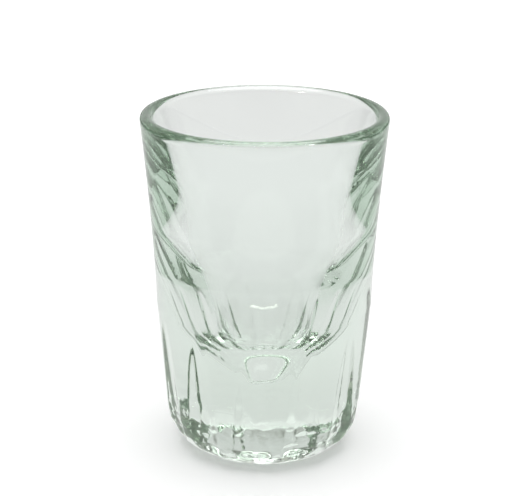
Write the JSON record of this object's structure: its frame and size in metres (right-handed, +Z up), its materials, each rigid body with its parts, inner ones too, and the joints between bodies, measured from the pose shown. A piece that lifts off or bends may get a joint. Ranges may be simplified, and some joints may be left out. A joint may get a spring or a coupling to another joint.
{
  "type": "mezcal glass",
  "caption": "Small clear pressed glass for sipping mezcal: a tapered cup over a thick, fluted solid foot with a hollow underneath.",
  "frame": {"origin": "centre of the ring the glass stands on, at table height", "axes": "+Z up out of the cup's mouth; -Y towards the viewer of the picture; +X to the viewer's right"},
  "size_m": [0.0512, 0.0512, 0.073],
  "materials": {
    "clear_glass": "fire-polished clear soda-lime glass with a faint green tint"
  },
  "bodies": {
    "root": {"glass_body": "clear_glass"}
  },
  "joints": []
}
